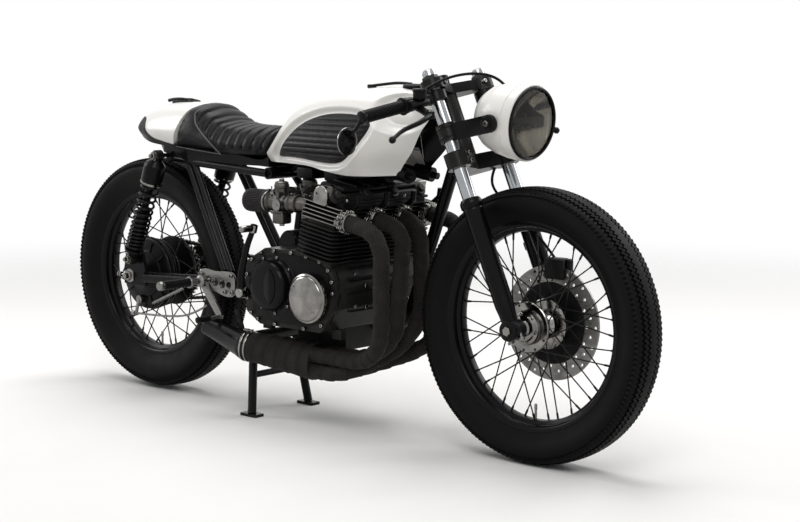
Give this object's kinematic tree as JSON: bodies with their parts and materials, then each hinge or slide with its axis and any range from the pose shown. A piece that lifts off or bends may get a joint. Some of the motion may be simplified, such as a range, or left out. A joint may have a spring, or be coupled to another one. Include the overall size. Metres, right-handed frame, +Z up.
{
  "type": "cafe racer motorcycle",
  "caption": "Motorcycle with low clip-on bars, long tank, humped seat, wire wheels, wrapped exhaust and centre stand; wheels turn, steering turns and stand folds.",
  "frame": {"origin": "on the floor, midway between the two axles, on the centre plane", "axes": "+X forward, +Y to the rider's left, +Z up"},
  "size_m": [2.085, 0.7188, 0.9647],
  "materials": {
    "white_paint": "satin white enamel",
    "black_paint": "satin black powder coat",
    "engine_black": "black painted cast aluminium",
    "polished_metal": "polished",
    "bare_metal": "bare, satin",
    "chain_steel": "oiled steel",
    "pipe_wrap": "steel pipe wrapped in black woven tape",
    "tyre": "black tyre rubber",
    "rubber": "moulded black rubber",
    "black_leather": "padded black leather",
    "lamp_glass": "smoked headlight glass"
  },
  "bodies": {
    "chassis": {"alternator_cover": "engine_black", "brake_pedal": "bare_metal", "cam_caps": "polished_metal", "carburettors": "bare_metal", "clutch_cover": "engine_black", "cylinder_block": "engine_black", "cylinder_head": "engine_black", "drive_chain": "chain_steel", "engine_cases": "engine_black", "exhaust_bands": "bare_metal", "exhaust_collector": "pipe_wrap", "exhaust_headers": "pipe_wrap", "filler_cap": "engine_black", "footrests": "bare_metal", "frame_cradles": "black_paint", "frame_spine": "black_paint", "gear_lever": "bare_metal", "header_clamps": "bare_metal", "kick_starter": "bare_metal", "knee_panels": "black_leather", "oil_filter": "engine_black", "pod_filters": "rubber", "points_cover": "polished_metal", "rear_brake_panel": "black_paint", "rear_struts": "black_paint", "seat": "black_leather", "seat_base": "black_paint", "shock_bodies": "black_paint", "shock_springs": "black_paint", "silencer": "black_paint", "sprocket_cover": "engine_black", "stand_pin": "bare_metal", "swingarm": "black_paint", "tail_cowl": "white_paint", "tail_latch": "engine_black", "tank": "white_paint"},
    "steering": {"fork_yokes": "black_paint", "fork_tubes": "polished_metal", "fork_sliders": "black_paint", "clip_on_bars": "engine_black", "hand_grips": "rubber", "control_levers": "engine_black", "bar_end_mirrors": "engine_black", "instrument": "engine_black", "headlight_shell": "white_paint", "headlight_lens": "lamp_glass", "headlight_brackets": "black_paint", "brake_caliper": "engine_black", "throttle_cable": "rubber", "brake_hose": "rubber"},
    "front_wheel": {"front_tyre": "tyre", "front_rim": "black_paint", "front_hub": "bare_metal", "brake_disc": "bare_metal"},
    "rear_wheel": {"rear_tyre": "tyre", "rear_rim": "black_paint", "rear_hub": "engine_black", "rear_sprocket": "bare_metal"},
    "centre_stand": {"centre_stand": "black_paint"}
  },
  "joints": [
    {"name": "steering_turn", "type": "hinge", "parent": "chassis", "child": "steering", "pos_m": [0.47379, 0, 0.73076], "axis": [-0.4067, 0, 0.9135], "range_deg": [-28, 28]},
    {"name": "front_wheel_spin", "type": "hinge", "parent": "steering", "child": "front_wheel", "pos_m": [0.7025, 0, 0.34], "axis": [0, 1, 0], "continuous": true},
    {"name": "rear_wheel_spin", "type": "hinge", "parent": "chassis", "child": "rear_wheel", "pos_m": [-0.7025, 0, 0.346], "axis": [0, 1, 0], "continuous": true},
    {"name": "stand_fold", "type": "hinge", "parent": "chassis", "child": "centre_stand", "pos_m": [-0.218, 0, 0.214], "axis": [0, 1, 0], "range_deg": [0, 88]}
  ]
}
